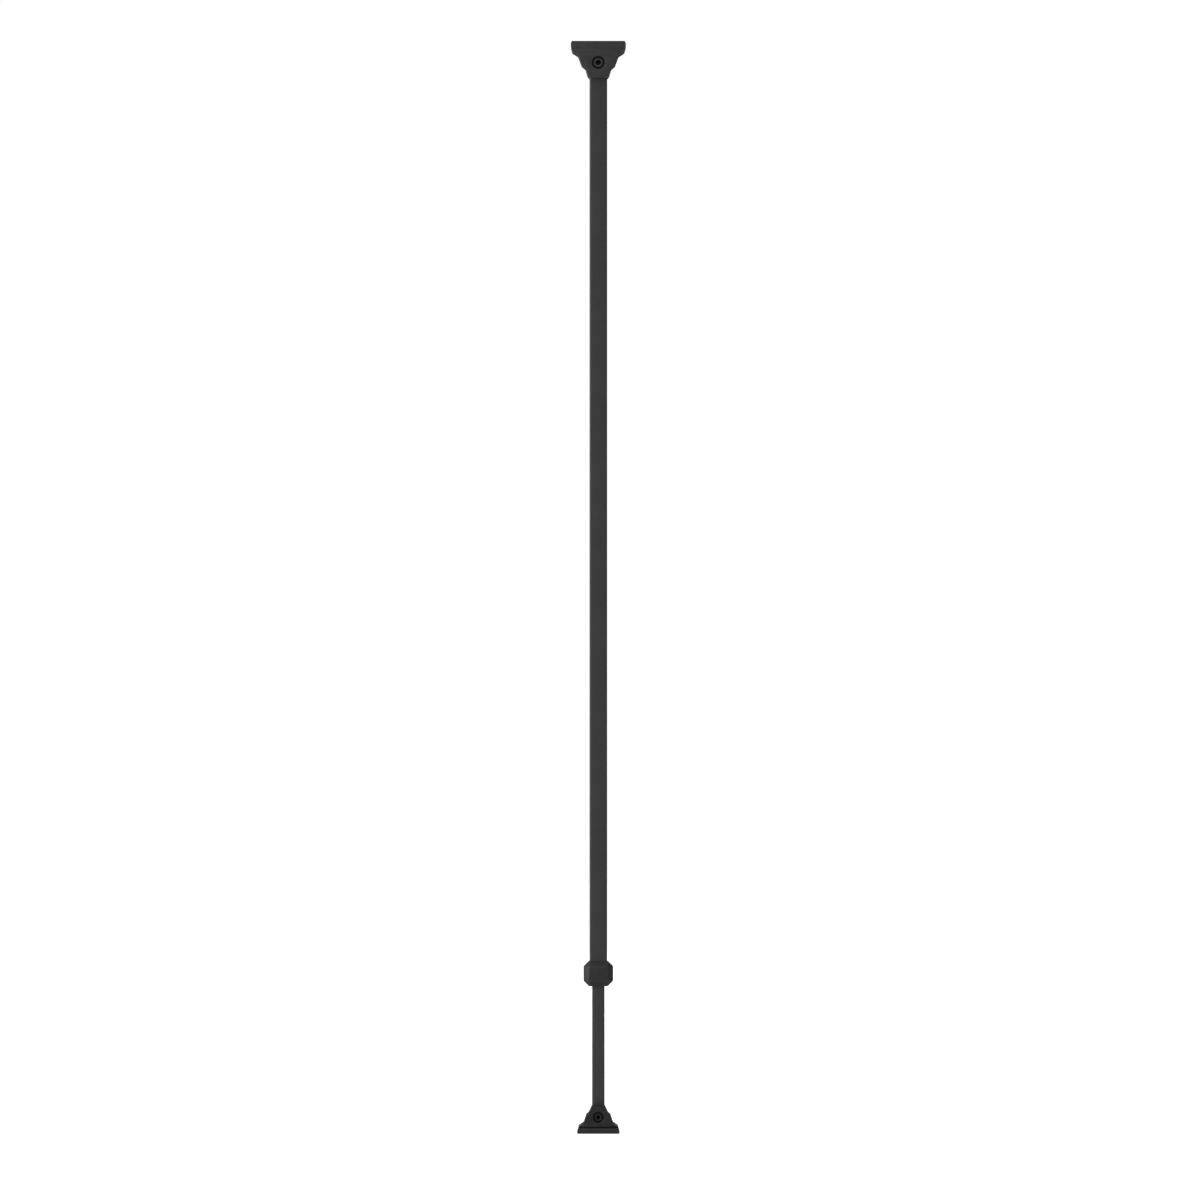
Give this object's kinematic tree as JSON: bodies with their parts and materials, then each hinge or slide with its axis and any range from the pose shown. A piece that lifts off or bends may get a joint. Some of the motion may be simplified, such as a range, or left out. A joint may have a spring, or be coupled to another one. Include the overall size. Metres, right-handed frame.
{
  "type": "door security bar",
  "caption": "Telescoping square bar with a chamfered clamp collar and a swivelling, rubber-faced shoe on a recessed pivot screw at each end.",
  "frame": {"origin": "centre of the foot pad's bearing face", "axes": "+Z along the bar from the foot shoe to the head shoe; +Y along both pivot screws, from their heads at the front to their nuts; +X across the shoes' long side"},
  "size_m": [0.0596, 0.0396, 1.1796],
  "materials": {
    "black_powder_coat": "matte black powder coat with a fine orange peel",
    "moulded_nylon": "black glass-filled nylon with a fine moulded grain",
    "black_rubber": "matte black rubber",
    "blackened_steel": "black oxide, slightly oily",
    "zinc_steel": "zinc plated",
    "brass": "turned brass",
    "natural_nylon": "natural nylon"
  },
  "bodies": {
    "foot": {"foot_shoe": "moulded_nylon", "foot_pad": "black_rubber", "foot_pivot_screw": "blackened_steel", "foot_pivot_nut": "zinc_steel", "foot_nut_ring": "natural_nylon", "foot_washer_front": "moulded_nylon", "foot_washer_rear": "moulded_nylon"},
    "inner_bar": {"inner_tube": "black_powder_coat", "inner_tube_plug": "natural_nylon", "foot_pivot_bush": "zinc_steel", "inner_tube_slider": "natural_nylon", "slider_pin": "blackened_steel"},
    "outer_bar": {"outer_tube": "black_powder_coat", "outer_tube_plug": "natural_nylon", "head_pivot_bush": "zinc_steel", "collar": "moulded_nylon", "collar_liner": "natural_nylon", "collar_screw_left": "blackened_steel", "collar_screw_right": "blackened_steel", "clamp_insert": "brass"},
    "clamp_pad": {"clamp_pad": "natural_nylon"},
    "clamp_screw": {"clamp_screw": "blackened_steel"},
    "head": {"head_shoe": "moulded_nylon", "head_pad": "black_rubber", "head_pivot_screw": "blackened_steel", "head_pivot_nut": "zinc_steel", "head_nut_ring": "natural_nylon", "head_washer_front": "moulded_nylon", "head_washer_rear": "moulded_nylon"}
  },
  "joints": [
    {"name": "foot_pivot", "type": "hinge", "parent": "foot", "child": "inner_bar", "pos_m": [0, 0, 0.0178], "axis": [0, 1, 0], "range_deg": [-90, 90]},
    {"name": "bar_slide", "type": "slide", "parent": "inner_bar", "child": "outer_bar", "axis": [0, 0, 1], "range_m": [-0.11, 0.33]},
    {"name": "head_pivot", "type": "hinge", "parent": "outer_bar", "child": "head", "pos_m": [0, 0, 1.1563], "axis": [0, 1, 0], "range_deg": [-90, 90]},
    {"name": "clamp_travel", "type": "slide", "parent": "outer_bar", "child": "clamp_pad", "axis": [0, 1, 0], "range_m": [0, 0.001]},
    {"name": "clamp_screw_turn", "type": "hinge", "parent": "clamp_pad", "child": "clamp_screw", "pos_m": [0, 0.013, 0.1725], "axis": [0, 1, 0], "range_deg": [0, 450]}
  ],
  "couplings": [
    {"joint": "clamp_screw_turn", "follows": "clamp_travel", "rad_per_m": 7854}
  ]
}
